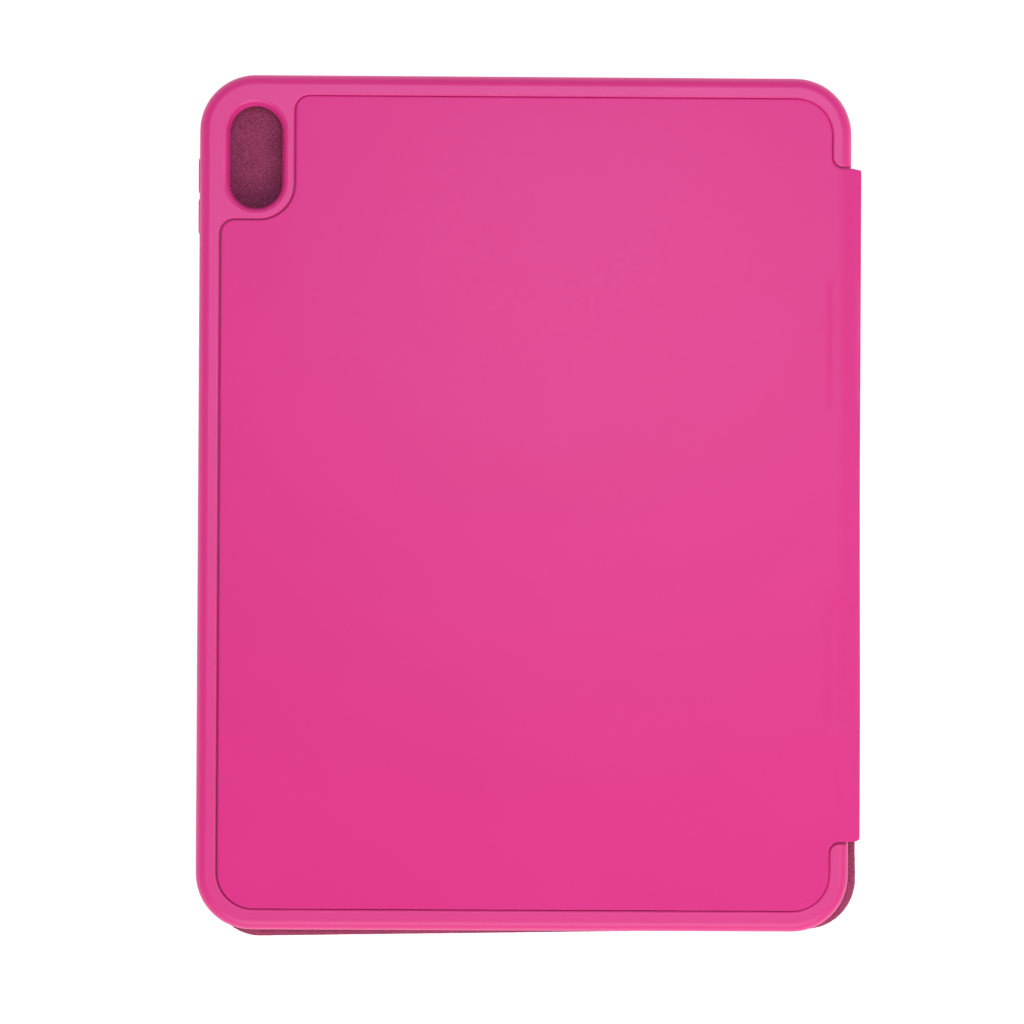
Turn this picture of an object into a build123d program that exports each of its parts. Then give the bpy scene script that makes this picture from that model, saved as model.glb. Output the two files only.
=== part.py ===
"""Folio case for a 13-inch class tablet, closed and lying on its front cover with its back up.

A soft moulded tray holds the tablet. A skin of coated leathercloth is bonded into a recess in the
tray's back, runs on round the tray's long edge as a spine, and on again as a front cover of three
stiffened panels. Every crease of that skin is a hinge.

Millimetres. +Z is the outward normal of the case's back, +Y points to the tablet's top edge and +X to
the spine. The origin is on the surface that the case lies on, under the middle of the tray.
"""

from build123d import *
import math
import os

# ---- The tablet that the tray is made for, with its clearance
TABLET_W = 214.9
TABLET_L = 280.6
TABLET_T = 6.1
BAY_CLEAR = 0.3

# ---- Reach of a cut past the face that it leaves by, and the tolerance for finding faces
WALL_OVERRUN = 1.0
TOLERANCE = 0.01

# ---- The tray
TRAY_W = 219.6
TRAY_L = 287.6
TRAY_R = 18.9
BAY_W = TABLET_W + 2 * BAY_CLEAR
BAY_L = TABLET_L + 2 * BAY_CLEAR
BAY_R = 16.6
BAY_T = TABLET_T + BAY_CLEAR
LIP_T = 1.0
LIP_IN = 1.4
LIP_EDGE_R = 0.4
BACK_T = 1.0
EDGE_BACK_R = 3.6
EDGE_FRONT_R = 1.2

# ---- Layers of the back, of the spine and of the front cover
SKIN_T = 0.7
LINING_T = 0.5
BACK_BOARD_T = 0.5
SPINE_BOARD_T = 0.8
COVER_BOARD_T = 0.9
RIM_PROUD = 0.3
CLOSED_GAP = 0.3
MITRE_GAP = 0.12

# ---- Heights above the surface that the case lies on
COVER_T = SKIN_T + COVER_BOARD_T + LINING_T
TRAY_Z = COVER_T + CLOSED_GAP
BAY_Z = TRAY_Z + LIP_T
BAY_TOP = BAY_Z + BAY_T
RECESS_Z = BAY_TOP + BACK_T
SKIN_Z = RECESS_Z + BACK_BOARD_T
BACK_Z = SKIN_Z + SKIN_T
RIM_Z = BACK_Z + RIM_PROUD
MID_Z = BAY_Z + BAY_T / 2

# ---- The recess in the tray's back, which holds the back skin
RECESS_LEFT = -102.8
RECESS_RIGHT = 103.2
RECESS_Y = 136.7
RECESS_R = 12.5
SKIN_EDGE_GAP = 0.3
SPINE_HALF = 113.75
RIM_END_R = 3.5
ISLAND_X = -77.75
ISLAND_Y = 95.05
ISLAND_R = 12.0
ISLAND_FILLET_R = 5.0
RIM_INNER_R = 0.8

# ---- The camera window through the island
CAMERA_X = -90.75
CAMERA_Y = 115.95
CAMERA_W = 17.6
CAMERA_L = 34.5
CAMERA_FLARE = 1.25
CAMERA_FLARE_SHIFT = 0.45
CAMERA_FLARE_T = 2.1
CAMERA_EDGE_R = 1.4

# ---- Openings in the tray's walls: position along the wall, length, height
PORT = (0.0, 13.0, 5.6)
BOTTOM_SPEAKERS = [(-68.0, 26.0, 2.8), (68.0, 26.0, 2.8)]
TOP_SPEAKERS = [(-45.0, 24.0, 2.8), (68.0, 26.0, 2.8)]
TOP_KEY = (-84.0, 20.0, 5.0)
MICROPHONE = (0.0, 2.2, 2.2)
PENCIL_RELIEF_L = 120.0
PENCIL_RELIEF_H = 5.2
PENCIL_RELIEF_DEEP = 0.8

# ---- The volume pads in the tray's left wall
PAD_Y = [109.95, 96.2]
PAD_L = 12.0
PAD_H = 4.0
PAD_PROUD = 0.4
PAD_CLEAR = 0.15
PAD_EDGE = 0.3

# ---- The spine
SPINE_OUT = 113.4
SPINE_SKIN_HALF = SPINE_HALF - SKIN_EDGE_GAP
SPINE_BOARD_MARGIN = 1.6
SPINE_LINING_MARGIN = 1.0
SPINE_CORNER_R = 1.2

# ---- The front cover: three panels of one width, hung a little askew on their soft hinge
COVER_SKEW = 0.95
COVER_LEFT = -106.2
COVER_RIGHT = 111.0
COVER_HALF_L = 143.4
COVER_FREE_R = 15.5
COVER_HINGE_R = 17.0
PANEL_W = (SPINE_OUT - COVER_LEFT) / 3
FOLD_X = [SPINE_OUT - PANEL_W, SPINE_OUT - 2 * PANEL_W]
FOLD_GAP = 0.2
FOLD_BOARD_MARGIN = 2.0
COVER_BOARD_MARGIN = 1.5
HINGE_BOARD_MARGIN = 3.4

# ---- The board under the back skin
BACK_BOARD_RIGHT = 108.6
BACK_BOARD_MARGIN = 1.0

# ---- Magnets: length along Y, width along X, thickness
MAGNET_CLEAR = 0.1
STAND_MAGNET = (41.0, 5.8, 0.8)
STAND_MAGNET_Y = 54.05
STAND_NOTCH_X = 102.5
STAND_NOTCH_L = 41.7
SKIN_DIP = 0.2
CATCH_MAGNET = (14.0, 5.0, 0.8)
CATCH_MAGNET_X = 101.0
CATCH_MAGNET_Y = [-54.0, -38.0, 38.0, 54.0]
CLOSURE_MAGNET = (12.0, 4.0, 0.8)
CLOSURE_MAGNET_X = -101.5
CLOSURE_MAGNET_Y = [-108.0, -72.0, -36.0, 36.0, 72.0, 108.0]
WAKE_MAGNET = (8.0, 4.0, 0.8)
WAKE_MAGNET_PLACE = (-97.0, 0.0)


def rounded_outline(corners):
    """A face from (x, y, radius) corners in order, each corner turned by an arc of its radius."""
    edges, ends = [], []
    count = len(corners)
    for i, (x, y, radius) in enumerate(corners):
        here = Vector(x, y)
        back = (Vector(*corners[i - 1][:2]) - here).normalized()
        on = (Vector(*corners[(i + 1) % count][:2]) - here).normalized()
        if radius <= 0:
            ends.append((here, here))
            continue
        half = math.radians(back.get_angle(on)) / 2
        reach = radius / math.tan(half)
        start, end = here + back * reach, here + on * reach
        middle = (back + on).normalized()
        top = here + middle * (radius / math.sin(half) - radius)
        edges.append(ThreePointArc(start, top, end))
        ends.append((start, end))
    for i in range(count):
        start, end = ends[i - 1][1], ends[i][0]
        if (end - start).length > 1e-6:
            edges.append(Line(start, end))
    return make_face(edges)


def plate(outline, bottom, top):
    """A flat outline made solid between two heights."""
    return extrude(Pos(0, 0, bottom) * outline, amount=top - bottom)


def block(x0, x1, y0, y1, z0, z1):
    """A box between its two limits on each axis."""
    centre = Pos((x0 + x1) / 2, (y0 + y1) / 2, (z0 + z1) / 2)
    return centre * Box(x1 - x0, y1 - y0, z1 - z0)


def recess_outline(inset, right, exit_half):
    """The back's recess, which runs out over the tray's edge at the spine, or a sheet set in it."""
    left, x, y = RECESS_LEFT + inset, RECESS_RIGHT - inset, RECESS_Y - inset
    island_x, island_y = ISLAND_X + inset, ISLAND_Y - inset
    return rounded_outline([
        (island_x, y, ISLAND_FILLET_R - inset),
        (x, y, RECESS_R - inset),
        (x, exit_half, RIM_END_R + inset),
        (right, exit_half, 0),
        (right, -exit_half, 0),
        (x, -exit_half, RIM_END_R + inset),
        (x, -y, RECESS_R - inset),
        (left, -y, RECESS_R - inset),
        (left, island_y, ISLAND_FILLET_R - inset),
        (island_x, island_y, ISLAND_R + inset),
    ])


def wall_slot(place, side):
    """A round-ended slot through the tray's top wall (side 1) or bottom wall (side -1)."""
    x, length, height = place
    outline = SlotOverall(length, height) if length > height else Circle(length / 2)
    outside = TRAY_L / 2 + WALL_OVERRUN
    inside = BAY_L / 2 - WALL_OVERRUN
    plane = Plane(origin=(x, side * outside, MID_Z), x_dir=(1, 0, 0), z_dir=(0, side, 0))
    return extrude(plane * outline, amount=inside - outside)


def side_pill(y, grow, x_out, x_in):
    """A round-ended block across the tray's left wall, from x_out in to x_in."""
    outline = SlotOverall(PAD_L + 2 * grow, PAD_H + 2 * grow)
    plane = Plane(origin=(x_out, y, MID_Z), x_dir=(0, 1, 0), z_dir=(1, 0, 0))
    return extrude(plane * outline, amount=x_in - x_out)


def tray():
    """The soft moulded shell: back plate, raised rim and camera island, side walls and front lip."""
    body = tray_shell()
    recess_cut = recess_outline(0, TRAY_W / 2 + WALL_OVERRUN, SPINE_HALF)
    body -= plate(recess_cut, RECESS_Z, RIM_Z + WALL_OVERRUN)
    body = fillet(recess_rim(body), RIM_INNER_R)
    body -= camera_window()
    body = fillet(body.faces().sort_by(Axis.Z)[-1].inner_wires()[0].edges(), CAMERA_EDGE_R)
    for y in PAD_Y:
        body -= side_pill(y, PAD_CLEAR, -TRAY_W / 2 - WALL_OVERRUN, -BAY_W / 2 + WALL_OVERRUN)
    for place in [PORT, *BOTTOM_SPEAKERS]:
        body -= wall_slot(place, -1)
    for place in [TOP_KEY, *TOP_SPEAKERS, MICROPHONE]:
        body -= wall_slot(place, 1)
    body -= pencil_relief()
    for side in (-1, 1):
        body -= stand_magnet(side, MAGNET_CLEAR)
    return body


def tray_shell():
    """The tray before its openings: round-edged outside, bay for the tablet and lip over its front."""
    body = plate(RectangleRounded(TRAY_W, TRAY_L, TRAY_R), TRAY_Z, RIM_Z)
    body = fillet(body.faces().sort_by(Axis.Z)[-1].edges(), EDGE_BACK_R)
    body = fillet(body.faces().sort_by(Axis.Z)[0].edges(), EDGE_FRONT_R)
    window = RectangleRounded(BAY_W - 2 * LIP_IN, BAY_L - 2 * LIP_IN, BAY_R - LIP_IN)
    body -= plate(window, TRAY_Z - WALL_OVERRUN, BAY_TOP)
    body = fillet(body.faces().sort_by(Axis.Z)[0].inner_wires()[0].edges(), LIP_EDGE_R)
    return body - plate(RectangleRounded(BAY_W, BAY_L, BAY_R), BAY_Z, BAY_TOP)


def recess_rim(body):
    """The upper edges of the recess's wall, from one free end of the rim round to the other."""
    walls = body.faces().filter_by(
        lambda face: abs(face.bounding_box().min.Z - RECESS_Z) < TOLERANCE
        and abs(face.normal_at().Z) < TOLERANCE)
    return [edge for wall in walls for edge in wall.edges()
            if edge.center().Z > RECESS_Z + RIM_INNER_R and abs(edge.tangent_at(0.5).Z) < 0.9]


def pencil_relief():
    """The thinned stretch of the left wall, through which a stylus on the outside charges."""
    half_l, half_h = PENCIL_RELIEF_L / 2, PENCIL_RELIEF_H / 2
    deep = -BAY_W / 2 - PENCIL_RELIEF_DEEP
    return block(deep, -BAY_W / 2 + WALL_OVERRUN, -half_l, half_l, MID_Z - half_h, MID_Z + half_h)


def camera_window():
    """The pill-shaped window: straight next to the tablet, flared towards the outside."""
    straight = plate(pill(0), BAY_TOP - WALL_OVERRUN, RIM_Z + WALL_OVERRUN)
    lower = Pos(0, 0, RIM_Z - CAMERA_FLARE_T) * pill(0)
    upper = Pos(0, CAMERA_FLARE_SHIFT, RIM_Z + TOLERANCE) * pill(CAMERA_FLARE)
    return straight + loft([lower, upper])


def pill(grow):
    """The camera window's outline, grown outwards."""
    upright = SlotOverall(CAMERA_L + 2 * grow, CAMERA_W + 2 * grow, rotation=90)
    return Pos(CAMERA_X, CAMERA_Y) * upright


def stand_magnet(side, clear):
    """One bar magnet, half sunk in the tray's back next to the spine."""
    length, width, thick = STAND_MAGNET
    x = (STAND_NOTCH_X + BACK_BOARD_RIGHT) / 2
    y = side * STAND_MAGNET_Y
    top = SKIN_Z - SKIN_DIP - MAGNET_CLEAR
    return block(x - width / 2 - clear, x + width / 2 + clear,
                 y - length / 2 - clear, y + length / 2 + clear, top - thick, top + clear)


def back_skin():
    """The bonded back sheet, with its far edge mitred where it turns down as the spine."""
    outline = recess_outline(SKIN_EDGE_GAP, SPINE_OUT + WALL_OVERRUN, SPINE_SKIN_HALF)
    sheet = plate(outline, SKIN_Z, BACK_Z) - mitre_cut(SPINE_OUT - MITRE_GAP, BACK_Z, 1)
    for side in (-1, 1):
        sheet -= stand_notch(side, BACK_Z - SKIN_DIP, BACK_Z + WALL_OVERRUN)
    return sheet


def stand_notch(side, bottom, top):
    """The space over one bar magnet, open towards the spine."""
    middle, half = side * STAND_MAGNET_Y, STAND_NOTCH_L / 2
    return block(STAND_NOTCH_X, SPINE_OUT + WALL_OVERRUN, middle - half, middle + half, bottom, top)


def mitre_cut(x, z, up):
    """What is cut off a flat sheet that ends at an outer corner (x, z), to leave it a 45 degree end.
    up is 1 where the sheet's outer face looks up, and -1 where it looks down."""
    reach = 4 * SKIN_T
    section = Plane.XZ * make_face(Polyline(
        (x + reach, z + up * reach),
        (x - reach, z - up * reach),
        (x + reach, z - up * reach),
        close=True))
    return extrude(section, amount=TRAY_L, both=True)


def back_board():
    """The stiff board under the back skin, notched on the spine side for the two bar magnets."""
    inset = SKIN_EDGE_GAP + BACK_BOARD_MARGIN
    board = plate(recess_outline(inset, BACK_BOARD_RIGHT, SPINE_HALF - inset), RECESS_Z, SKIN_Z)
    for side in (-1, 1):
        board -= stand_notch(side, RECESS_Z, SKIN_Z)
    return board


def spine_sheet(inner, outer, half, low, high):
    """An upright strip of the spine, with its free corners rounded."""
    outline = Pos(0, (low + high) / 2) * RectangleRounded(2 * half, high - low, SPINE_CORNER_R)
    return Pos(inner, 0, 0) * extrude(Plane.YZ * outline, amount=outer - inner)


def spine_skin():
    """The spine's strip of skin, mitred along both creases."""
    x0, x1, g = SPINE_OUT - SKIN_T, SPINE_OUT, MITRE_GAP
    section = Plane.XZ * make_face(Polyline(
        (x1, g), (x1, BACK_Z - g), (x0, SKIN_Z - g), (x0, SKIN_T + g), close=True))
    return extrude(section, amount=SPINE_SKIN_HALF, both=True)


def spine_board():
    """The stiff strip that keeps the spine flat."""
    outer = SPINE_OUT - SKIN_T
    m = SPINE_BOARD_MARGIN
    return spine_sheet(outer - SPINE_BOARD_T, outer, SPINE_SKIN_HALF - m, SKIN_T + m / 2, SKIN_Z - m / 2)


def spine_lining():
    """The microfibre on the spine's inner face."""
    outer = SPINE_OUT - SKIN_T - SPINE_BOARD_T
    m = SPINE_LINING_MARGIN
    return spine_sheet(outer - LINING_T, outer, SPINE_SKIN_HALF - m / 2, COVER_T - m, SKIN_Z - m / 2)


def cover_outline(inset):
    """The whole front cover's outline in its own frame, inset all round."""
    left, right, y = COVER_LEFT + inset, COVER_RIGHT - inset, COVER_HALF_L - inset
    free, hinge = COVER_FREE_R - inset, COVER_HINGE_R - inset
    return rounded_outline([(left, y, free), (right, y, hinge), (right, -y, hinge), (left, -y, free)])


def askew(shape):
    """Turns the cover's own frame to where the soft hinge lets it lie."""
    return Pos(SPINE_OUT, 0, 0) * Rot(0, 0, COVER_SKEW) * Pos(-SPINE_OUT, 0, 0) * shape


def cover_layer(panel, inset, margin, bottom, top):
    """One layer of one cover panel (0 next to the spine, 2 at the free edge)."""
    limits = [SPINE_OUT, *FOLD_X, COVER_LEFT - WALL_OVERRUN]
    right = limits[panel] - (margin if panel > 0 else 0)
    left = limits[panel + 1] + (margin if panel < 2 else 0)
    layer = plate(cover_outline(inset), bottom, top)
    return layer & block(left, right, -COVER_HALF_L, COVER_HALF_L, bottom, top)


def cover_skin(panel):
    """The outer skin of one panel. The first one's edge follows the spine's crease."""
    skin = askew(cover_layer(panel, 0, FOLD_GAP / 2, 0, SKIN_T))
    if panel == 0:
        tongue = block(COVER_RIGHT - PANEL_W / 2, SPINE_OUT + WALL_OVERRUN,
                       -SPINE_SKIN_HALF, SPINE_SKIN_HALF, 0, SKIN_T)
        skin = (skin + tongue) - mitre_cut(SPINE_OUT - MITRE_GAP, 0, -1)
    return skin


def cover_board(panel):
    """The stiff board of one panel, with a pocket for each magnet that it holds."""
    bottom, top = SKIN_T, SKIN_T + COVER_BOARD_T
    board = cover_layer(panel, COVER_BOARD_MARGIN, FOLD_BOARD_MARGIN, bottom, top)
    if panel == 0:
        board &= block(-TRAY_W, SPINE_OUT - HINGE_BOARD_MARGIN, -TRAY_L, TRAY_L, 0, COVER_T)
        board -= magnets(CATCH_MAGNET, catch_places(), MAGNET_CLEAR)
    if panel == 2:
        board -= magnets(CLOSURE_MAGNET, closure_places(), MAGNET_CLEAR)
        board -= magnets(WAKE_MAGNET, [WAKE_MAGNET_PLACE], MAGNET_CLEAR)
    return askew(board)


def cover_lining(panel):
    """The microfibre lining of one panel, which faces the tablet's screen."""
    lining = askew(cover_layer(panel, 0, FOLD_GAP / 2, COVER_T - LINING_T, COVER_T))
    if panel == 0:
        inner = SPINE_OUT - SKIN_T - SPINE_BOARD_T - LINING_T - CLOSED_GAP
        lining -= block(inner, SPINE_OUT, -SPINE_HALF, SPINE_HALF, 0, COVER_T)
    return lining


def magnets(size, places, clear=0.0):
    """Bar magnets lying in a cover board at their (x, y) places, or their pockets."""
    length, width, thick = size
    bottom = SKIN_T + (COVER_BOARD_T - thick) / 2
    bars = [block(x - width / 2 - clear, x + width / 2 + clear,
                  y - length / 2 - clear, y + length / 2 + clear,
                  bottom - clear, bottom + thick + clear) for x, y in places]
    return Part() + bars


def catch_places():
    """Where the magnets sit that hold the rolled cover in its triangle."""
    return [(CATCH_MAGNET_X, y) for y in CATCH_MAGNET_Y]


def closure_places():
    """Where the magnets sit that hold the cover shut against the tablet."""
    return [(CLOSURE_MAGNET_X, y) for y in CLOSURE_MAGNET_Y]


def volume_pad(y):
    """A raised pad over one of the tablet's volume keys."""
    pad = side_pill(y, 0, -TRAY_W / 2 - PAD_PROUD, -BAY_W / 2)
    return chamfer(pad.faces().sort_by(Axis.X)[0].edges(), PAD_EDGE)


def save(name, shape):
    """Writes one node's STEP file."""
    solids = shape.solids()
    export_step(solids[0] if len(solids) == 1 else Compound(solids), f"parts/{name}.step")


os.makedirs("parts", exist_ok=True)
save("tray", tray())
save("back_board", back_board())
save("back_skin", back_skin())
save("stand_magnets", Compound([stand_magnet(side, 0) for side in (-1, 1)]))
save("spine_skin", spine_skin())
save("spine_board", spine_board())
save("spine_lining", spine_lining())
for number in (1, 2, 3):
    save(f"cover_skin_{number}", cover_skin(number - 1))
    save(f"cover_board_{number}", cover_board(number - 1))
    save(f"cover_lining_{number}", cover_lining(number - 1))
save("catch_magnets", askew(magnets(CATCH_MAGNET, catch_places())))
save("closure_magnets", askew(magnets(CLOSURE_MAGNET, closure_places())))
save("wake_magnet", askew(magnets(WAKE_MAGNET, [WAKE_MAGNET_PLACE])))
save("volume_up_pad", volume_pad(PAD_Y[0]))
save("volume_down_pad", volume_pad(PAD_Y[1]))
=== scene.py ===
"""A folio case for a tablet, closed, lying on its front cover with its back up.

The sections follow the case as it is put together: moulded tray, boards and magnets, outer skin,
front cover's skin, lining, and then the stage. Sizes are in millimetres until a mesh is made, which is
in metres, as the whole stage is.
"""
import math

import bmesh
import bpy
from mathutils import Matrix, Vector, noise
from mathutils.geometry import delaunay_2d_cdt


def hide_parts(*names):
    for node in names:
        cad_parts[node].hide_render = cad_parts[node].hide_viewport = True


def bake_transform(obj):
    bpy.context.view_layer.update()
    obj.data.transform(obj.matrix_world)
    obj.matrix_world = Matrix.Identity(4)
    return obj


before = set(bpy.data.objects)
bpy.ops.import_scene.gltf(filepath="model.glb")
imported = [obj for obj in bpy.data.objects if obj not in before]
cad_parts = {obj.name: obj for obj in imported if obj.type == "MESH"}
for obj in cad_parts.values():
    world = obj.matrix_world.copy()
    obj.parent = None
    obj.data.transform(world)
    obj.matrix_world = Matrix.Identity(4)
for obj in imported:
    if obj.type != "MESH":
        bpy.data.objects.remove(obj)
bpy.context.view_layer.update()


# ---- Tray ------------------------------------------------------------------------------------------
# The soft shell that grips the tablet: back plate, raised rim, camera island, walls and front lip.
# Thermoplastic polyurethane, injection moulded in one shot in a tool with a fine spark-eroded finish,
# so it is satin, with a soft broad highlight where its edge turns over.

MM = 0.001
TPU_PINK = "DA2A7E"
TPU_PINK_DEEP = "D7277A"
TPU_SPARK_GRAIN = 0.3
TPU_FLOW_PATCH = 60.0
RECESS_FLOOR = 10.8
# The dark colour painted on the recess floor, as painted shade in the gaps round the skin.
GAP_PAINTED_SHADE = "941A4C"
TPU_ROUGHNESS = (0.36, 0.44)
TPU_GRAIN_DEEP = 0.008
FLOOR_TOLERANCE = 0.1
LOOKS_UP = 0.95


def linear(hex_colour):
    """An sRGB hex colour as linear red, green, blue and alpha."""
    parts = [int(hex_colour[i:i + 2], 16) / 255 for i in (0, 2, 4)]
    return [p / 12.92 if p <= 0.04045 else ((p + 0.055) / 1.055) ** 2.4 for p in parts] + [1.0]


def add(tree, kind, inputs=(), **settings):
    """Adds a node with its settings. Each input is given a value, or is linked to another output."""
    made = tree.nodes.new(kind)
    for name, value in settings.items():
        setattr(made, name, value)
    for name, value in dict(inputs).items():
        if isinstance(value, bpy.types.NodeSocket):
            tree.links.new(value, made.inputs[name])
        else:
            made.inputs[name].default_value = value
    return made


def surface(name, inputs, bump, build):
    """A material with one Principled shader. build(tree, place) gives its colour, roughness and height,
    and bump is the height's full depth in millimetres."""
    material = bpy.data.materials.new(name)
    material.use_nodes = True
    tree = material.node_tree
    tree.nodes.clear()
    place = add(tree, "ShaderNodeTexCoord").outputs["Object"]
    colour, roughness, height = build(tree, place)
    relief = add(tree, "ShaderNodeBump", {"Strength": 1.0, "Distance": bump * MM, "Height": height})
    shader = add(tree, "ShaderNodeBsdfPrincipled", {
        "Base Color": colour, "Roughness": roughness, "Normal": relief.outputs[0], **inputs})
    add(tree, "ShaderNodeOutputMaterial", {"Surface": shader.outputs[0]})
    return material


def speckle(tree, place, size, detail=2.0, stretch=(1, 1, 1)):
    """Even noise, from 0 to 1, whose features are about size millimetres across."""
    scaled = add(tree, "ShaderNodeMapping", {"Vector": place, "Scale": stretch}).outputs[0]
    return add(tree, "ShaderNodeTexNoise", {
        "Vector": scaled, "Scale": 1 / (size * MM), "Detail": detail, "Roughness": 0.55}).outputs["Fac"]


def between(tree, factor, low, high, start=0.3, end=0.7):
    """A value or colour that goes from low to high as the factor goes from start to end."""
    share = add(tree, "ShaderNodeMapRange", {
        "Value": factor, "From Min": start, "From Max": end, "To Min": 0.0, "To Max": 1.0}).outputs[0]
    if isinstance(low, str):
        return add(tree, "ShaderNodeMix", {0: share, 6: linear(low), 7: linear(high)},
                   data_type="RGBA").outputs[2]
    return add(tree, "ShaderNodeMix", {0: share, 2: low, 3: high}).outputs[0]


def moulded_tpu(tree, place):
    """Satin moulded TPU: an even colour with faint flow patches, and a fine spark-eroded grain. The
    floor of the recess in its back is painted dark, as painted shade in the gaps round the skin."""
    patch = speckle(tree, place, TPU_FLOW_PATCH)
    grain = speckle(tree, place, TPU_SPARK_GRAIN)
    clean = between(tree, patch, TPU_PINK_DEEP, TPU_PINK)
    level = add(tree, "ShaderNodeSeparateXYZ", {"Vector": place}).outputs["Z"]
    facing = add(tree, "ShaderNodeNewGeometry").outputs["True Normal"]
    upward = add(tree, "ShaderNodeSeparateXYZ", {"Vector": facing}).outputs["Z"]
    # Where the recess floor looks up it is painted dark: painted shade for the gaps round the skin.
    on_floor = add(tree, "ShaderNodeMath", {0: level, 1: RECESS_FLOOR * MM, 2: FLOOR_TOLERANCE * MM},
                   operation="COMPARE")
    flat = add(tree, "ShaderNodeMath", {0: upward, 1: LOOKS_UP}, operation="GREATER_THAN")
    painted_gap_shade = add(tree, "ShaderNodeMath", {0: on_floor.outputs[0], 1: flat.outputs[0]}, operation="MULTIPLY")
    colour = add(tree, "ShaderNodeMix", {0: painted_gap_shade.outputs[0], 6: clean, 7: linear(GAP_PAINTED_SHADE)},
                 data_type="RGBA").outputs[2]
    return colour, between(tree, grain, *TPU_ROUGHNESS), grain


satin_tpu = surface("satin_moulded_tpu", {"IOR": 1.5, "Specular IOR Level": 0.52}, TPU_GRAIN_DEEP,
                    moulded_tpu)


def refinish(nodes, material):
    """Gives CAD nodes a finish in place of their plain one."""
    for name in nodes:
        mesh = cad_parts[name].data
        mesh.materials.clear()
        mesh.materials.append(material)


refinish(["tray", "volume_up_pad", "volume_down_pad"], satin_tpu)


# ---- Boards and magnets ----------------------------------------------------------------------------
# Die-cut grey fibreboard between skin and lining keeps the back, the spine and the three cover panels
# flat. The magnets in its pockets are pressed bars with a nickel plating, matt from barrel plating.

BOARD_GREY = "6E6C6A"
BOARD_GREY_DARK = "565452"
BOARD_FIBRE = 0.8
BOARD_FIBRE_DEEP = 0.05
BOARD_ROUGHNESS = (0.85, 0.95)
NICKEL = "B9B4A8"
NICKEL_SHADE = "A39E93"
NICKEL_PIT = 0.15
NICKEL_PIT_DEEP = 0.004
NICKEL_ROUGHNESS = (0.28, 0.42)


def pressed_fibre(tree, place):
    """Fibreboard: short fibres lying one way, dry and rough."""
    fibre = speckle(tree, place, BOARD_FIBRE, 6.0, (1, 0.2, 1))
    return between(tree, fibre, BOARD_GREY_DARK, BOARD_GREY), between(tree, fibre, *BOARD_ROUGHNESS), fibre


def barrel_plating(tree, place):
    """Nickel from a plating barrel: bright, with fine pits and small changes of gloss."""
    pit = speckle(tree, place, NICKEL_PIT, 3.0)
    return between(tree, pit, NICKEL_SHADE, NICKEL), between(tree, pit, *NICKEL_ROUGHNESS), pit


fibreboard = surface("pressed_fibreboard", {"IOR": 1.5}, BOARD_FIBRE_DEEP, pressed_fibre)
nickel = surface("barrel_plated_nickel", {"Metallic": 1.0}, NICKEL_PIT_DEEP, barrel_plating)
refinish(["back_board", "spine_board"] + [f"cover_board_{n}" for n in (1, 2, 3)], fibreboard)
refinish(["stand_magnets", "catch_magnets", "closure_magnets", "wake_magnet"], nickel)


# ---- Outer skin ------------------------------------------------------------------------------------
# One sheet of coated leathercloth, 0.7 mm: a polyurethane film with a fine embossed leather grain on a
# knitted backing. It is bonded into the recess in the tray's back, turns down as the spine and back
# under as the front cover. It is made here in four lengths, each of which lies over one crease.

SKIN_T = 0.7
SPINE_X = 113.4
BACK_Z = 12.0
SPINE_MIDDLE = BACK_Z / 2
SPINE_HALF = 113.25
SPINE_TIP_HALF = 112.7
SKIN_TURN_R = 1.0
PUSH_OUT = 0.5
PUSH_OVER = (-20, 90)
PUSH_RAMP = 2
SLIT = 0.6
SKIN_PINK = "DA267E"
SKIN_PINK_DEEP = "D7237A"
LEATHER_PEBBLE = 0.6
LEATHER_PORE = 0.35
LEATHER_CLOUD = 70.0
PEBBLE_STRETCH = (0.45, 1, 1)
PORE_SHARE = 0.35
GRAIN_SHARE = 0.4
LEATHER_ROUGHNESS = (0.35, 0.43)
LEATHER_GRAIN_DEEP = 0.03
ARC_STEP = 0.7
FEWEST_ARC_STEPS = 6
EDGE_STEP = 2.5
FEWEST_EDGE_STEPS = 8
FRAY_SIZE = 1.4
LATTICE_CLEAR = 0.25
SHARP_FROM = 50
FIBRE_LEAN = 0.9
FIBRE_SPIN = 6.3
FIBRE_SMALLEST = 0.4


def corner_ring(corners, inset, counts=None):
    """Points round an outline of (x, y, radius) corners that turns left, at a distance inside it.
    counts, from a first call, keeps the number of points the same for each distance."""
    total = len(corners)
    spots = [Vector(c[:2]) for c in corners]
    shifted, turns = [], []
    for i in range(total):
        into = (spots[i] - spots[i - 1]).normalized()
        out = (spots[(i + 1) % total] - spots[i]).normalized()
        normals = Vector((-into.y, into.x)), Vector((-out.y, out.x))
        shifted.append(spots[i] + (normals[0] + normals[1]) * inset / (1 + normals[0].dot(normals[1])))
        turn = math.atan2(into.cross(out), into.dot(out))
        radius = corners[i][2] - inset if turn > 0 else corners[i][2] + inset
        turns.append((into, out, turn, max(radius, 0.01) if corners[i][2] > 0 else 0))
    arcs = []
    for i, (into, out, turn, radius) in enumerate(turns):
        reach = radius * math.tan(abs(turn) / 2)
        centre = shifted[i] - into * reach + Vector((-into.y, into.x)) * math.copysign(radius, turn)
        fitted = max(FEWEST_ARC_STEPS, int(abs(turn) * radius / ARC_STEP)) if radius else 0
        steps = counts[i][0] if counts else fitted
        start = shifted[i] - into * reach - centre
        points = [shifted[i]] if not radius else []
        for k in range(steps + 1 if radius else 0):
            a = turn * k / steps
            points.append(centre + Vector((start.x * math.cos(a) - start.y * math.sin(a),
                                           start.x * math.sin(a) + start.y * math.cos(a))))
        arcs.append(points)
    ring, made = [], []
    for i in range(total):
        start, end = arcs[i][-1], arcs[(i + 1) % total][0]
        steps = counts[i][1] if counts else max(FEWEST_EDGE_STEPS, int((end - start).length / EDGE_STEP))
        made.append((len(arcs[i]) - 1, steps))
        ring += arcs[i] + [start.lerp(end, k / steps) for k in range(1, steps)]
    return ring, made


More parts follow.
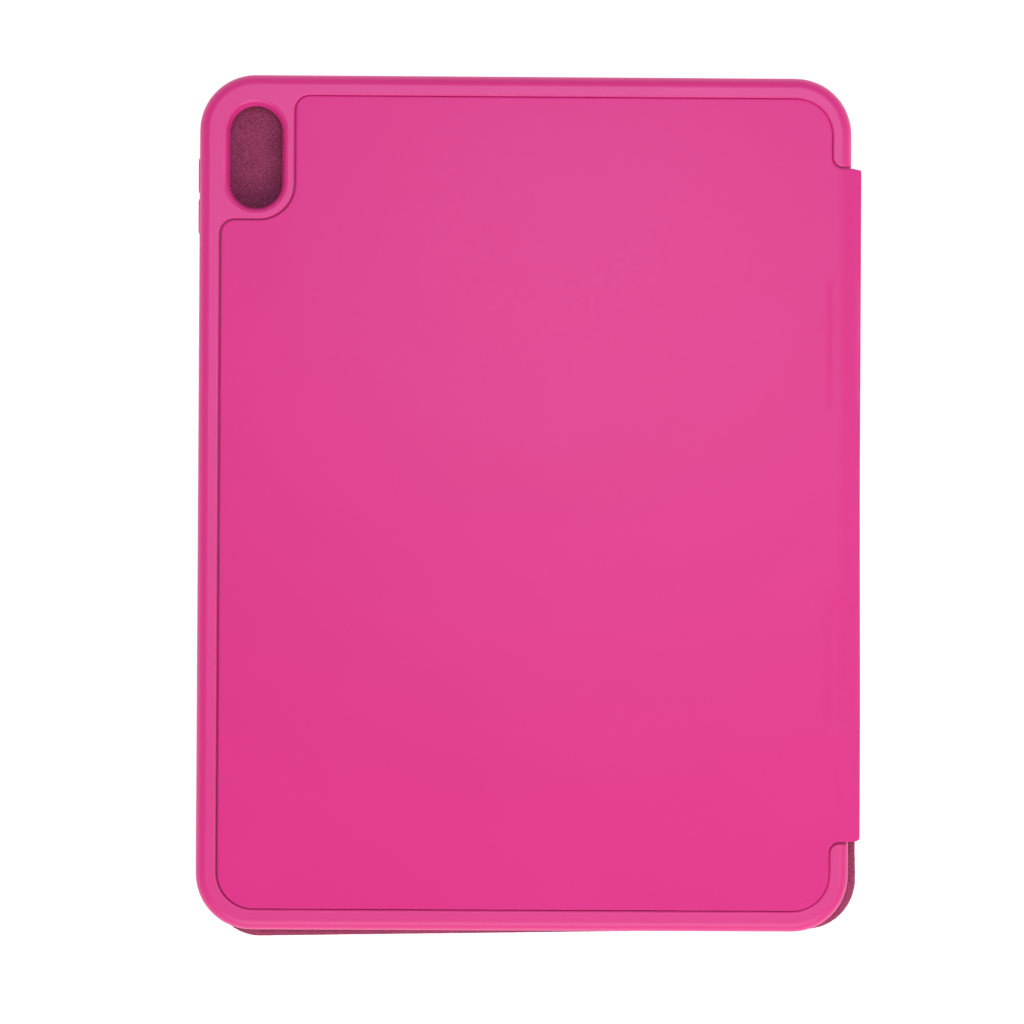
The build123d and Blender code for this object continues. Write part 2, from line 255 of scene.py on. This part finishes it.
def inside(point, ring):
    """Whether a point is inside a ring of points."""
    found = False
    for a, b in zip(ring, ring[1:] + ring[:1]):
        if (a.y > point.y) != (b.y > point.y):
            found ^= point.x < a.x + (b.x - a.x) * (point.y - a.y) / (b.y - a.y)
    return found


def sheet(name, corners, profile, lattice, relief, place, cuts=(), fray=0.0, loose=None, seed=0):
    """A sheet with a finished edge. profile is its section from the edge in, as (inset, show face,
    hidden face) heights; lattice is the points between, relief(x, y) raises both faces, and
    place(x, y, height) puts each point where it is. cuts are (point, normal) lines, the far side of
    which is cut off square. fray is how far the cut edge wanders, and seed picks its course. loose(x, y)
    is how far the cut edge sheds fibres, from 0 to 1."""
    first, counts = corner_ring(corners, 0)
    rings = [first] + [corner_ring(corners, inset, counts)[0] for inset, _, _ in profile[1:]]
    inward = [(b - a).normalized() for a, b in zip(rings[0], rings[-1])]
    for ring in rings[:2]:
        for i, p in enumerate(ring):
            rough = noise.fractal(Vector((p.x / FRAY_SIZE, p.y / FRAY_SIZE, seed)), 0.6, 2.0, 3)
            ring[i] = p + inward[i] * fray * rough
    inner = rings[-1]
    limit = corner_ring(corners, profile[-1][0] + LATTICE_CLEAR, counts)[0]
    middle = [p for p in lattice if inside(p, limit)]
    count = len(inner)
    edges = [(i, (i + 1) % count) for i in range(count)]
    flat, _, faces, _, _, _ = delaunay_2d_cdt(inner + middle, edges, [], 1, 1e-5)
    mesh = bmesh.new()
    shed = mesh.verts.layers.float.new("shed")

    def vertex(p, height):
        return mesh.verts.new((p.x, p.y, height + relief(p.x, p.y)))

    show = [[vertex(p, section[1]) for p in ring] for ring, section in zip(rings[:-1], profile)]
    hidden = [[vertex(p, section[2]) for p in ring] for ring, section in zip(rings[:-1], profile)]
    show_flat = [vertex(p, profile[-1][1]) for p in flat]
    hidden_flat = [vertex(p, profile[-1][2]) for p in flat]
    for v in show[0] + hidden[0]:
        v[shed] = loose(v.co.x, v.co.y) if loose else 0.0
    show.append(show_flat[:count])
    hidden.append(hidden_flat[:count])
    for face in faces:
        mesh.faces.new([show_flat[i] for i in face])
        mesh.faces.new([hidden_flat[i] for i in reversed(face)])
    bands = list(zip(show, show[1:])) + list(zip(hidden[1:], hidden)) + [(hidden[0], show[0])]
    for outer, inner_ring in bands:
        for i, j in edges:
            mesh.faces.new((outer[i], outer[j], inner_ring[j], inner_ring[i]))
    for point, normal in cuts:
        geometry = mesh.verts[:] + mesh.edges[:] + mesh.faces[:]
        cut = bmesh.ops.bisect_plane(mesh, geom=geometry, plane_co=(*point, 0), plane_no=(*normal, 0),
                                     clear_outer=True)["geom_cut"]
        bmesh.ops.edgeloop_fill(mesh, edges=[e for e in cut if isinstance(e, bmesh.types.BMEdge)])
    mesh.normal_update()
    sum(f.calc_area() * abs(f.normal.z) for f in mesh.faces) / 2 * MM ** 2
    for v in mesh.verts:
        v.co = Vector(place(*v.co)) * MM
    bmesh.ops.triangulate(mesh, faces=[f for f in mesh.faces if len(f.verts) > 4])
    bmesh.ops.recalc_face_normals(mesh, faces=mesh.faces)
    data = bpy.data.meshes.new(name)
    mesh.to_mesh(data)
    mesh.free()
    data.shade_smooth()
    data.set_sharp_from_angle(angle=math.radians(SHARP_FROM))
    made = bpy.data.objects.new(name, data)
    bpy.context.scene.collection.objects.link(made)
    return made


def shed_fibres(piece, material, per_mm2, length, radius, seed):
    """Stands short loose fibres on a sheet's cut edge, as densely as its shed attribute says."""
    tree = bpy.data.node_groups.new("loose_fibres", "GeometryNodeTree")
    sockets = {"Density": per_mm2 / MM ** 2, "Length": length * MM, "Radius": radius * MM}
    tree.interface.new_socket("Geometry", in_out="INPUT", socket_type="NodeSocketGeometry")
    named = {name: tree.interface.new_socket(name, in_out="INPUT", socket_type="NodeSocketFloat")
             for name in sockets}
    tree.interface.new_socket("Geometry", in_out="OUTPUT", socket_type="NodeSocketGeometry")
    given = add(tree, "NodeGroupInput").outputs
    shed = add(tree, "GeometryNodeInputNamedAttribute", {"Name": "shed"}, data_type="FLOAT")
    density = add(tree, "ShaderNodeMath", {0: shed.outputs[0], 1: given["Density"]}, operation="MULTIPLY")
    roots = add(tree, "GeometryNodeDistributePointsOnFaces", {
        "Mesh": given["Geometry"], "Density": density.outputs[0], "Seed": seed})
    fibre = add(tree, "GeometryNodeMeshCone", {
        "Vertices": 3, "Side Segments": 1, "Radius Top": 0.0, "Radius Bottom": given["Radius"],
        "Depth": given["Length"]})
    tilt = add(tree, "FunctionNodeRandomValue", {
        0: (-FIBRE_LEAN, -FIBRE_LEAN, 0), 1: (FIBRE_LEAN, FIBRE_LEAN, FIBRE_SPIN), "Seed": seed},
        data_type="FLOAT_VECTOR")
    lean = add(tree, "FunctionNodeEulerToRotation", {"Euler": tilt.outputs[0]})
    turn = add(tree, "FunctionNodeRotateRotation", {
        "Rotation": roots.outputs["Rotation"], "Rotate By": lean.outputs[0]}, rotation_space="LOCAL")
    size = add(tree, "FunctionNodeRandomValue", {2: FIBRE_SMALLEST, 3: 1.0, "Seed": seed + 1},
               data_type="FLOAT")
    fibres = add(tree, "GeometryNodeInstanceOnPoints", {
        "Points": roots.outputs["Points"], "Instance": fibre.outputs["Mesh"],
        "Rotation": turn.outputs[0], "Scale": size.outputs[1]})
    both = add(tree, "GeometryNodeJoinGeometry")
    tree.links.new(fibres.outputs[0], both.inputs[0])
    tree.links.new(given["Geometry"], both.inputs[0])
    real = add(tree, "GeometryNodeRealizeInstances", {"Geometry": both.outputs[0]})
    finish = add(tree, "GeometryNodeSetMaterial", {"Geometry": real.outputs[0], "Material": material})
    add(tree, "NodeGroupOutput", {"Geometry": finish.outputs[0]})
    modifier = piece.modifiers.new("loose_fibres", "NODES")
    modifier.node_group = tree
    for name, value in sockets.items():
        modifier[named[name].identifier] = value
    shaped = piece.evaluated_get(bpy.context.evaluated_depsgraph_get())
    piece.data = bpy.data.meshes.new_from_object(shaped)
    piece.modifiers.clear()


def turned(corner_x, level, thick, side, turn, radius, half, push=0.0):
    """Where a sheet's points go that lies flat with its show face at a level, and turns up or down
    (turn 1 or -1) at corner_x. side is 1 where the show face looks up. What lies past y = half or
    y = -half is clear of the spine, and stays flat. push is how far the lower end is pushed out."""
    flat_end = corner_x - radius
    outward = -side * turn

    def place(x, y, height):
        depth = thick - height
        if abs(y) > half:
            return x, y, level - side * depth
        pushed = push * ease(-y, *PUSH_OVER) * ease(x, flat_end - PUSH_RAMP, flat_end)
        angle = min(max((x - flat_end) / radius, 0), math.pi / 2)
        run = min(x, flat_end) + radius * math.sin(angle)
        rise = radius * (1 - math.cos(angle)) + max(x - flat_end - radius * math.pi / 2, 0)
        return (run - outward * math.sin(angle) * depth + pushed, y,
                level + turn * rise - side * math.cos(angle) * depth)
    return place


def steps(*stops):
    """Values from stop to stop: (start, end, step) for each stretch."""
    values = []
    for start, end, step in stops:
        number = max(1, round(abs(end - start) / step))
        values += [start + (end - start) * k / number for k in range(number)]
    return values + [stops[-1][1]]


def grid(xs, ys):
    """Lattice points, one at each x and y given."""
    return [Vector((x, y)) for x in xs for y in ys]


def ease(value, start, end):
    """0 before start, 1 after end, and smooth between them."""
    share = min(max((value - start) / (end - start), 0), 1)
    return share * share * (3 - 2 * share)


def embossed_leather(tree, place):
    """Grained polyurethane film: fine pebbles drawn out along the sheet, pores, and faint clouds."""
    pebble = speckle(tree, place, LEATHER_PEBBLE, 3.0, PEBBLE_STRETCH)
    pore = speckle(tree, place, LEATHER_PORE)
    cloud = speckle(tree, place, LEATHER_CLOUD)
    height = add(tree, "ShaderNodeMix", {0: PORE_SHARE, 2: pebble, 3: pore}).outputs[0]
    tone = add(tree, "ShaderNodeMix", {0: GRAIN_SHARE, 2: cloud, 3: height}).outputs[0]
    return between(tree, tone, SKIN_PINK_DEEP, SKIN_PINK), between(tree, pore, *LEATHER_ROUGHNESS), height


leathercloth = surface("embossed_pu_leathercloth", {"IOR": 1.5, "Specular IOR Level": 0.3},
                       LEATHER_GRAIN_DEEP, embossed_leather)

SKIN_EDGE = [(0, 0.50, 0.10), (0.06, 0.62, 0.03), (0.20, 0.69, 0), (0.5, SKIN_T, 0), (1.2, SKIN_T, 0)]
SKIN_WAVE = 0.05
SKIN_WAVE_LENGTH = 28.0


def skin_wave(x, y, seed):
    """The slight waviness of a bonded skin."""
    return SKIN_WAVE * noise.noise(Vector((x / SKIN_WAVE_LENGTH, y / SKIN_WAVE_LENGTH, seed)))


# The back's outline follows the recess in the tray, which steps round the camera island. Two bar
# magnets under the skin next to the spine leave it a shallow dip over each, and it falls away a little
# before it turns down.
BACK_LEFT = -102.35
BACK_RIGHT = 103.12
BACK_TOP = 136.62
BACK_BOTTOM = -136.52
BACK_R = 12.2
ISLAND_X = -77.4
ISLAND_Y = 94.75
ISLAND_R = 12.3
ISLAND_FILLET_R = 4.7
RIM_END_R = 3.8
DIP_X = 102.5
DIP_MIDDLE = 54.05
DIP_HALF = 20.85
DIP_DEEP = 0.14
DIP_SOFT = 1.7
DIP_SIDE_SOFT = 1.4
DIP_STOPS = 1.5
FALL_X = 105.5
FALL_DEEP = 0.45
FALL_OVER = 7.6
FALL_LEVELS_FROM = 0.6
FALL_LEVELS_TO = 4
WAVE_FADES = (100, 112)
SHED_FULL = 0.4
SHED_NONE = 0.7


def back_relief(x, y):
    """Height of the back's skin over flat: waviness, the two dips, and the fall towards the spine."""
    dip = ease(x, DIP_X - DIP_SIDE_SOFT, DIP_X + DIP_SIDE_SOFT)
    dip *= 1 - ease(abs(abs(y) - DIP_MIDDLE), DIP_HALF - DIP_SOFT, DIP_HALF + DIP_SOFT)
    dip *= 1 - ease(x, SPINE_X - DIP_STOPS, SPINE_X)
    fall = ease(x, FALL_X, FALL_X + FALL_OVER)
    fall *= 1 - ease(x, SPINE_X + FALL_LEVELS_FROM, SPINE_X + FALL_LEVELS_TO)
    return skin_wave(x, y, 3.0) * (1 - ease(x, *WAVE_FADES)) - DIP_DEEP * dip - FALL_DEEP * fall


def loose_at_island(x, y):
    """The skin's cut edge has shed fibres where it goes round the outer curve of the camera island."""
    apart = math.hypot(x - ISLAND_X + ISLAND_R / 3, y - ISLAND_Y - ISLAND_R / 3)
    return 1 - ease(apart, SHED_FULL * ISLAND_R, SHED_NONE * ISLAND_R)


turn_start = SPINE_X - SKIN_TURN_R
turn_end = turn_start + SKIN_TURN_R * math.pi / 2
spine_cut = turn_end + BACK_Z - SKIN_TURN_R - SPINE_MIDDLE

# The sheets run past the line where they are cut. At both ends of the spine the skin's edge steps in, by
# a long soft step at the upper end and a short one at the lower end.
OVERCUT = 2
UPPER_STEP = (-2, 0.5)
UPPER_STEP_R = (1.0, 0.6)
LOWER_STEP = (-0.8, 0.2)
LOWER_STEP_R = 0.3
back_corners = [
    (spine_cut + OVERCUT, -SPINE_TIP_HALF, 0), (spine_cut + OVERCUT, SPINE_TIP_HALF, 0),
    (turn_start + UPPER_STEP[1], SPINE_TIP_HALF, UPPER_STEP_R[1]),
    (turn_start + UPPER_STEP[0], SPINE_HALF, UPPER_STEP_R[0]),
    (BACK_RIGHT, SPINE_HALF, RIM_END_R), (BACK_RIGHT, BACK_TOP, BACK_R),
    (ISLAND_X, BACK_TOP, ISLAND_FILLET_R), (ISLAND_X, ISLAND_Y, ISLAND_R),
    (BACK_LEFT, ISLAND_Y, ISLAND_FILLET_R), (BACK_LEFT, BACK_BOTTOM, BACK_R),
    (BACK_RIGHT, BACK_BOTTOM, BACK_R), (BACK_RIGHT, -SPINE_HALF, RIM_END_R),
    (turn_start + LOWER_STEP[0], -SPINE_HALF, LOWER_STEP_R),
    (turn_start + LOWER_STEP[1], -SPINE_TIP_HALF, LOWER_STEP_R),
]

# The back's lattice is finest at the edges of the dips and over the turn.
BACK_STEP = 2.5
DIP_EDGE_STEP = 0.2
TURN_STEP = 0.15
SPINE_STEP = 0.5
back_xs = steps((-101, 99, BACK_STEP), (99, 101.5, 0.8), (101.5, 103.5, DIP_EDGE_STEP),
                (103.5, turn_start, 0.6), (turn_start, turn_end, TURN_STEP),
                (turn_end, spine_cut + 1.6, SPINE_STEP))
back_ys = steps((-135, -75.8, BACK_STEP), (-75.8, -74, DIP_EDGE_STEP), (-74, -34.1, BACK_STEP),
                (-34.1, -32.3, DIP_EDGE_STEP), (-32.3, 32.3, BACK_STEP), (32.3, 34.1, DIP_EDGE_STEP),
                (34.1, 74, BACK_STEP), (74, 75.8, DIP_EDGE_STEP), (75.8, 135, BACK_STEP))
skin_back = sheet("skin_back", back_corners, SKIN_EDGE, grid(back_xs, back_ys), back_relief,
                  turned(SPINE_X, BACK_Z, SKIN_T, 1, -1, SKIN_TURN_R, SPINE_HALF + SLIT / 2, PUSH_OUT),
                  [((spine_cut, 0), (1, 0))], fray=0.05, loose=loose_at_island, seed=5)
skin_back.data.materials.append(leathercloth)
shed_fibres(skin_back, leathercloth, per_mm2=18, length=0.55, radius=0.05, seed=3)
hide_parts("back_skin", "spine_skin")
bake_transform(skin_back)


# ---- Front cover's skin ----------------------------------------------------------------------------
# The same sheet, turned back under the tray. The cover hangs a little askew on its soft hinge, and is
# creased twice, where a hot bar has pressed a groove into the film between the boards.

COVER_SKEW = math.radians(0.95)
COVER_LEFT = -106.2
COVER_RIGHT = 111.0
COVER_HALF = 143.4
COVER_FREE_R = 15.5
COVER_HINGE_R = 17.0
PANEL_W = (SPINE_X - COVER_LEFT) / 3
FOLDS = [SPINE_X - PANEL_W, SPINE_X - 2 * PANEL_W]
GROOVE_HALF = 1.1
GROOVE_DEEP = 0.18


def askew(x, y):
    """A point of the cover, from its own square frame to where it lies."""
    c, s = math.cos(COVER_SKEW), math.sin(COVER_SKEW)
    return SPINE_X + (x - SPINE_X) * c - y * s, (x - SPINE_X) * s + y * c


def square(x, y):
    """The other way: a point where it lies to the cover's own square frame."""
    c, s = math.cos(COVER_SKEW), math.sin(COVER_SKEW)
    return SPINE_X + (x - SPINE_X) * c + y * s, -(x - SPINE_X) * s + y * c


def cover_relief(x, y):
    """Waviness of the cover's skin, and its two pressed grooves, which go into the show face."""
    own_x = square(x, y)[0]
    groove = sum(1 - ease(abs(own_x - fold), 0, GROOVE_HALF) for fold in FOLDS)
    return min(skin_wave(x, y, 8.0), 0) - GROOVE_DEEP * groove


def cover_corners(margin, edge_x, reach, half):
    """The cover's outline, with the tongue that runs out to the spine between y = -half and half. At
    the lower end, where the cover reaches past the crease, a short slit sets the tongue free."""
    def edge_at(y):
        low = Vector(askew(COVER_RIGHT - margin, -COVER_HALF))
        high = Vector(askew(COVER_RIGHT - margin, COVER_HALF))
        return low.lerp(high, (y - low.y) / (high.y - low.y)).x
    left, right, y = COVER_LEFT + margin, COVER_RIGHT - margin, COVER_HALF - margin
    hinge, free = COVER_HINGE_R - margin, COVER_FREE_R - margin
    return [(reach, -half, 0), (reach, half, 0), (edge_x, half, 0), (edge_at(half), half, 0.2),
            (*askew(right, y), hinge), (*askew(left, y), free), (*askew(left, -y), free),
            (*askew(right, -y), hinge), (edge_at(-half - SLIT), -half - SLIT, 0.2),
            (edge_x - SLIT / 2, -half - SLIT, 0), (edge_x - SLIT / 2, -half, 0)]


COVER_STEP = 3.0
GROOVE_STEP = 0.2
BESIDE_GROOVE = 3
BESIDE_GROOVE_STEP = 0.6
CLEAR_OF_GROOVE = 4
cover_ys = steps((-141, 141, COVER_STEP))
PANEL_CUTS = [SPINE_X - PANEL_W / 2, SPINE_X - PANEL_W * 1.5]
LENGTHS = ["spine_to_panel_1", "panel_1_to_2", "panel_2_to_3"]


def cover_lattice(xs):
    """Lattice points over the cover's full height, at each x of its own square frame."""
    return [Vector(askew(x, y)) for x in xs for y in cover_ys]


def folding_lattice(number, left, right):
    """Lattice points of a length that lies over one of the cover's creases, finer at the groove."""
    fold = FOLDS[number]
    at_groove = steps((fold - BESIDE_GROOVE, fold - GROOVE_HALF, BESIDE_GROOVE_STEP),
                      (fold - GROOVE_HALF, fold + GROOVE_HALF, GROOVE_STEP),
                      (fold + GROOVE_HALF, fold + BESIDE_GROOVE, BESIDE_GROOVE_STEP))
    return cover_lattice(steps((left, fold - CLEAR_OF_GROOVE, COVER_STEP)) + at_groove
                         + steps((fold + CLEAR_OF_GROOVE, right, COVER_STEP)))


def skew_cut(x, sign):
    """A cut across the cover at x, which keeps what is on the other side of it."""
    return askew(x, 0), (sign * math.cos(COVER_SKEW), sign * math.sin(COVER_SKEW))


def length_cuts(spine_end):
    """The cuts that leave each of the three lengths, from the spine to the cover's free edge."""
    return [[((spine_end, 0), (1, 0)), skew_cut(PANEL_CUTS[0], -1)],
            [skew_cut(PANEL_CUTS[0], 1), skew_cut(PANEL_CUTS[1], -1)],
            [skew_cut(PANEL_CUTS[1], 1)]]


skin_corners = cover_corners(0, turn_start, spine_cut + OVERCUT, SPINE_TIP_HALF)
spine_lattice = grid(steps((turn_start - 2, turn_start, SPINE_STEP), (turn_start, turn_end, TURN_STEP),
                           (turn_end, spine_cut + 1.6, SPINE_STEP)), steps((-112, 112, COVER_STEP)))
cover_place = turned(SPINE_X, 0, SKIN_T, -1, 1, SKIN_TURN_R, SPINE_TIP_HALF + SLIT / 2, PUSH_OUT)
skin_lattices = [spine_lattice + cover_lattice(steps((68, 110, COVER_STEP))),
                 folding_lattice(0, -4, 84), folding_lattice(1, -104, 10)]
skin_cover = [sheet(f"skin_{length}", skin_corners, SKIN_EDGE, lattice, cover_relief, cover_place, cuts,
                    fray=0.05, seed=11)
              for length, lattice, cuts in zip(LENGTHS, skin_lattices, length_cuts(spine_cut))]


def blend_folds(pieces):
    """Bakes the placement of the second and third lengths, which lie over the cover's two creases, into
    their meshes.
    """
    for number in (0, 1):
        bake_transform(pieces[number + 1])


for number, piece in enumerate(skin_cover):
    piece.data.materials.append(leathercloth)
    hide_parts(f"cover_skin_{number + 1}")
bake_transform(skin_cover[0])
blend_folds(skin_cover)


# ---- Lining ----------------------------------------------------------------------------------------
# One sheet of knitted microfibre, 0.5 mm, brushed to a short nap. It is bonded over the boards, and its
# edge is pinched down onto the skin. From the front cover it runs up the inside of the spine and ends
# under the back's skin, stuck down on the tray.

LINING_T = 0.5
LINING_MARGIN = 0.06
LINING_LEVEL = 2.1
LINING_SPINE_X = 111.4
LINING_SPINE_HALF = 112.3
LINING_TURN_R = 0.6
LINING_UNDER_BACK = 10.85
LINING_END_X = 108.8
MICROFIBRE = "B55375"
# The darker colour is painted shade between the nap's fibre tips.
MICROFIBRE_PAINTED_SHADE = "742240"
MICROFIBRE_TONES = (0.37, 0.67)
MICROFIBRE_ROUGHNESS = (0.85, 1.0)
SHEEN_TINT = "E88FA8"
NAP = 0.33
NAP_DEEP = 0.12
NAP_STROKE = 14.0
STROKE_SHARE = 0.2
SHED_CLEAR = 3
PINCH = [(0, -0.50, -0.88), (0.15, -0.36, -0.88), (0.5, -0.06, -0.60), (1.0, 0.30, -0.16),
         (1.6, LINING_T, 0), (2.2, LINING_T, 0)]


def brushed_microfibre(tree, place):
    """Brushed knit: a short nap whose fibre tips catch the light as painted highlight specks, with
    painted shade between them, drawn a little coarser than the real fibres so that they show, over
    faint strokes of painted sheen that lie one way or the other."""
    nap = speckle(tree, place, NAP)
    stroke = speckle(tree, place, NAP_STROKE, 3.0)
    tone = add(tree, "ShaderNodeMix", {0: STROKE_SHARE, 2: nap, 3: stroke}).outputs[0]
    # The nap's specks and strokes are painted highlight and painted shade.
    colour = between(tree, tone, MICROFIBRE_PAINTED_SHADE, MICROFIBRE, *MICROFIBRE_TONES)
    return colour, between(tree, nap, *MICROFIBRE_ROUGHNESS), nap


microfibre = surface("brushed_microfibre", {"IOR": 1.4, "Specular IOR Level": 0.25, "Sheen Weight": 0.35,
                                            "Sheen Roughness": 0.45, "Sheen Tint": linear(SHEEN_TINT)},
                     NAP_DEEP, brushed_microfibre)


def lining_relief(x, y):
    """The boards under the lining are flat, and so is the lining between its edges."""
    return 0.0


def loose_at_cover_edge(x, y):
    """The lining sheds fibres all round the front cover, but not along the spine."""
    return 1.0 if x < LINING_SPINE_X - SHED_CLEAR or abs(y) > LINING_SPINE_HALF + SLIT / 2 else 0.0


lining_flat_end = LINING_SPINE_X - LINING_TURN_R
lining_turn_end = lining_flat_end + LINING_TURN_R * math.pi / 2
lining_cut = lining_turn_end + SPINE_MIDDLE - LINING_LEVEL - LINING_TURN_R
LINING_OVERCUT = 3
LINING_TURN_STEP = 0.12
LINING_SPINE_STEP = 0.4
lining_corners = cover_corners(LINING_MARGIN, lining_flat_end, lining_cut + LINING_OVERCUT,
                               LINING_SPINE_HALF)
lining_spine_xs = steps((lining_flat_end - 4, lining_flat_end, 0.5),
                        (lining_flat_end, lining_turn_end, LINING_TURN_STEP),
                        (lining_turn_end, lining_cut + 2, LINING_SPINE_STEP))
lining_spine_lattice = grid(lining_spine_xs, steps((-111, 111, COVER_STEP)))
lining_place = turned(LINING_SPINE_X, LINING_LEVEL, LINING_T, 1, 1, LINING_TURN_R,
                      LINING_SPINE_HALF + SLIT / 2)
lining_lattices = [lining_spine_lattice + cover_lattice(steps((68, 106, COVER_STEP))),
                   folding_lattice(0, -4, 84), folding_lattice(1, -103, 10)]
lining_cover = [sheet(f"lining_{length}", lining_corners, PINCH, lattice, lining_relief, lining_place, cuts,
                      fray=0.06, loose=loose_at_cover_edge, seed=21)
                for length, lattice, cuts in zip(LENGTHS, lining_lattices, length_cuts(lining_cut))]
for number, piece in enumerate(lining_cover):
    piece.data.materials.append(microfibre)
    shed_fibres(piece, microfibre, per_mm2=14, length=0.45, radius=0.045, seed=40 + number)
    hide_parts(f"cover_lining_{number + 1}")
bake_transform(lining_cover[0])
blend_folds(lining_cover)

gusset_cut = lining_turn_end + LINING_UNDER_BACK - LINING_TURN_R - SPINE_MIDDLE
gusset_corners = [(gusset_cut + LINING_OVERCUT, -LINING_SPINE_HALF, 0),
                  (gusset_cut + LINING_OVERCUT, LINING_SPINE_HALF, 0),
                  (lining_turn_end, LINING_SPINE_HALF, 0), (lining_flat_end, LINING_SPINE_HALF, 0),
                  (LINING_END_X, LINING_SPINE_HALF, 0.3), (LINING_END_X, -LINING_SPINE_HALF, 0.3),
                  (lining_flat_end, -LINING_SPINE_HALF, 0), (lining_turn_end, -LINING_SPINE_HALF, 0)]
GUSSET_T = 0.42
GUSSET_EDGE = [(0, 0.30, 0.10), (0.12, GUSSET_T, 0), (0.4, GUSSET_T, 0)]
GUSSET_CLOSES = 0.78
GUSSET_TIP = (1.2, 0.2)


def gusset_relief(x, y):
    """At both ends of the spine the lining is pressed down over the board's end, onto the skin."""
    tip = ease(abs(y), LINING_SPINE_HALF - GUSSET_TIP[0], LINING_SPINE_HALF - GUSSET_TIP[1])
    return -GUSSET_CLOSES * tip * ease(x, lining_flat_end, lining_turn_end)


gusset_xs = steps((LINING_END_X + 0.6, lining_flat_end, LINING_SPINE_STEP),
                  (lining_flat_end, lining_turn_end, LINING_TURN_STEP),
                  (lining_turn_end, gusset_cut + 2, LINING_SPINE_STEP))
gusset_ys = steps((-112, -110.8, 0.2), (-110.8, 110.8, COVER_STEP), (110.8, 112, 0.2))
gusset = sheet("lining_back_to_spine", gusset_corners, GUSSET_EDGE, grid(gusset_xs, gusset_ys),
               gusset_relief,
               turned(LINING_SPINE_X, LINING_UNDER_BACK, GUSSET_T, -1, -1, LINING_TURN_R,
                      LINING_SPINE_HALF + SLIT / 2),
               [((gusset_cut, 0), (1, 0))], fray=0.02, seed=31)
gusset.data.materials.append(microfibre)
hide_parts("spine_lining")
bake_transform(gusset)


# ---- Stage -----------------------------------------------------------------------------------------
# A pale light table in a white light tent, which is brighter at the table than overhead. A broad soft
# light stands at the tray's lower end, a small bluish one hangs overhead and a weak one stands to the
# right. The camera looks down through a long lens, less than a degree off upright.

FLOOR_HALF = 2.0
FLOOR_Z = -0.0002
ACRYLIC = "BEBEBE"
ACRYLIC_SHADE = "B8B8B8"
ACRYLIC_HAZE = 200.0
ACRYLIC_ROUGHNESS = (0.85, 0.9)
TABLE_GLOW = 0.8
bpy.ops.mesh.primitive_plane_add(size=2 * FLOOR_HALF, location=(0, 0, FLOOR_Z))
floor = bpy.context.object
floor.name = "floor"


def opal_acrylic(tree, place):
    """An opal table top with an even glow from below."""
    haze = speckle(tree, place, ACRYLIC_HAZE)
    return between(tree, haze, ACRYLIC_SHADE, ACRYLIC), between(tree, haze, *ACRYLIC_ROUGHNESS), haze


floor.data.materials.append(surface("opal_acrylic", {"Emission Color": linear("FFFFFF"),
                                                     "Emission Strength": TABLE_GLOW}, 0.0, opal_acrylic))


def soft_light(name, place, target, size, watts):
    """A rectangular soft light that faces a point."""
    lamp = bpy.data.lights.new(name, "AREA")
    lamp.shape = "RECTANGLE"
    lamp.size, lamp.size_y = size
    lamp.energy = watts
    made = bpy.data.objects.new(name, lamp)
    made.location = place
    made.rotation_euler = (Vector(target) - Vector(place)).to_track_quat("-Z", "Y").to_euler()
    bpy.context.scene.collection.objects.link(made)
    return made


soft_light("lower_softbox", (0.0, -1.2, 1.3), target=(0, 0, 0), size=(1.6, 1.0), watts=15.5)
overhead = soft_light("overhead_softbox", (0.08, 0.2, 1.6), target=(0, 0, 0), size=(0.4, 0.4), watts=8.6)
overhead.data.color = (0.68, 0.66, 1.0)
soft_light("right_softbox", (0.7, -0.1, 0.95), target=(0, 0, 0), size=(0.5, 0.5), watts=2.4)
SURROUND_OVERHEAD = 0.22
SURROUND_AT_TABLE = 0.92
SURROUND_LEVELS_AT = 0.9
world = bpy.data.worlds.new("light_tent")
world.use_nodes = True
tent = world.node_tree
up = add(tent, "ShaderNodeSeparateXYZ", {"Vector": add(tent, "ShaderNodeTexCoord").outputs["Generated"]})
fall = add(tent, "ShaderNodeMapRange", {
    "Value": up.outputs["Z"], "From Min": 0.0, "From Max": SURROUND_LEVELS_AT, "To Min": SURROUND_AT_TABLE,
    "To Max": SURROUND_OVERHEAD}, interpolation_type="SMOOTHSTEP")
tent.nodes["Background"].inputs["Color"].default_value = (1, 1, 1, 1)
tent.links.new(fall.outputs[0], tent.nodes["Background"].inputs["Strength"])
bpy.context.scene.world = world
bpy.context.scene.view_settings.view_transform = "Standard"

LENS = 130.7
CAMERA_DISTANCE = 1.249
CAMERA_TARGET = Vector((-0.00402, -0.00302, 0.0123))
CAMERA_LEANS_DOWN = math.radians(0.35)
CAMERA_LEANS_LEFT = math.radians(0.6)
CAMERA_ROLL = math.radians(0.32)
camera_data = bpy.data.cameras.new("camera")
camera_data.lens = LENS
camera = bpy.data.objects.new("camera", camera_data)
stand_off = Vector((-math.sin(CAMERA_LEANS_LEFT), -math.sin(CAMERA_LEANS_DOWN), 1)).normalized()
camera.location = CAMERA_TARGET + CAMERA_DISTANCE * stand_off
camera.rotation_euler = (CAMERA_LEANS_DOWN, -CAMERA_LEANS_LEFT, CAMERA_ROLL)
bpy.context.scene.collection.objects.link(camera)
bpy.context.scene.camera = camera
